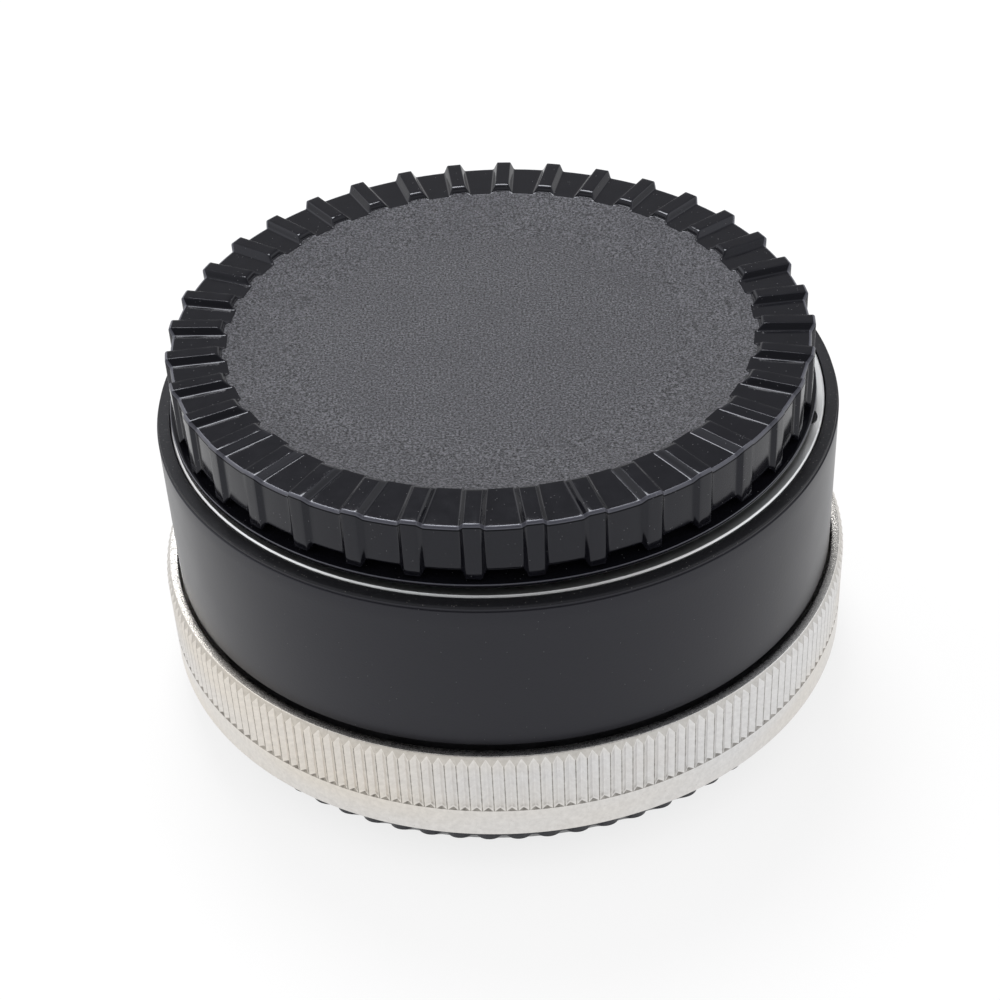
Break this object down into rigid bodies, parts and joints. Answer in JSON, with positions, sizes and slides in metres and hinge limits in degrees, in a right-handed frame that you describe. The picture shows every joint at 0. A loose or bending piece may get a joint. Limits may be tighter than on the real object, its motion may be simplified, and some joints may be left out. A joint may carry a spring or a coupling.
{
  "type": "camera teleconverter",
  "caption": "Round black camera teleconverter with a silver knurled breech-lock ring, ribbed front and rear caps, glass elements and lever couplings inside.",
  "frame": {"origin": "centre of the rear cap's underside, on the optical axis", "axes": "+Z along the optical axis towards the lens; -Y is the side that the picture shows"},
  "size_m": [0.065, 0.065, 0.036],
  "materials": {
    "black_satin": "satin",
    "black_matte": "matte",
    "black_plastic": "gloss",
    "bright_chrome": "polished",
    "satin_nickel": "satin",
    "steel": "brushed",
    "black_aluminium": "anodised",
    "brass": "satin",
    "glass": "coated",
    "red_paint": "gloss"
  },
  "bodies": {
    "converter": {"barrel_shell": "black_satin", "main_housing": "black_aluminium", "ring_stop_pin": "steel", "front_flange": "bright_chrome", "front_flange_screws": "steel", "front_baffle": "black_matte", "rear_mount_plate": "bright_chrome", "rear_mount_screws": "steel", "optics_tube": "black_aluminium", "optics_screws": "steel", "lens_1": "glass", "lens_2": "glass", "lens_3": "glass", "lens_4": "glass", "lens_spacer_front": "black_aluminium", "lens_spacer_rear": "black_aluminium", "lens_retainer_front": "black_matte", "lens_retainer_rear": "black_matte", "hub_washer": "brass", "hub_retainer": "steel", "pin_spring": "steel", "barrel_index_dot": "red_paint"},
    "front_cap": {"front_cap": "black_plastic"},
    "rear_cap": {"rear_cap": "black_plastic"},
    "breech": {"breech_ring": "satin_nickel", "breech_bayonet": "steel", "breech_bayonet_screws": "steel", "ring_index_dot": "red_paint"},
    "stop_down": {"stop_down_ring": "brass", "stop_down_front_lever": "steel", "stop_down_rear_lever": "steel", "stop_down_screws": "steel"},
    "signal": {"signal_ring": "brass", "signal_front_lever": "steel", "signal_rear_lever": "steel", "signal_screws": "steel"},
    "pin": {"aperture_pin": "steel"}
  },
  "joints": [
    {"name": "front_cap_lift", "type": "slide", "parent": "converter", "child": "front_cap", "axis": [0, 0, 1], "range_m": [0, 0.03]},
    {"name": "rear_cap_drop", "type": "slide", "parent": "converter", "child": "rear_cap", "axis": [0, 0, -1], "range_m": [0, 0.03]},
    {"name": "breech_ring_turn", "type": "hinge", "parent": "converter", "child": "breech", "pos_m": [0, 0, 0.0103], "axis": [0, 0, 1], "range_deg": [0, 55]},
    {"name": "stop_down_turn", "type": "hinge", "parent": "converter", "child": "stop_down", "pos_m": [0, 0, 0.0148], "axis": [0, 0, 1], "range_deg": [0, 20], "stiffness_Nm_per_rad": 0.01, "springref_deg": -17.19},
    {"name": "signal_turn", "type": "hinge", "parent": "converter", "child": "signal", "pos_m": [0, 0, 0.0182], "axis": [0, 0, 1], "range_deg": [0, 35], "stiffness_Nm_per_rad": 0.01, "springref_deg": -17.19},
    {"name": "aperture_pin_slide", "type": "slide", "parent": "converter", "child": "pin", "axis": [0, 0, -1], "range_m": [0, 0.0015], "stiffness_N_per_m": 300, "springref_m": -0.001, "deforming": ["pin_spring"]}
  ]
}
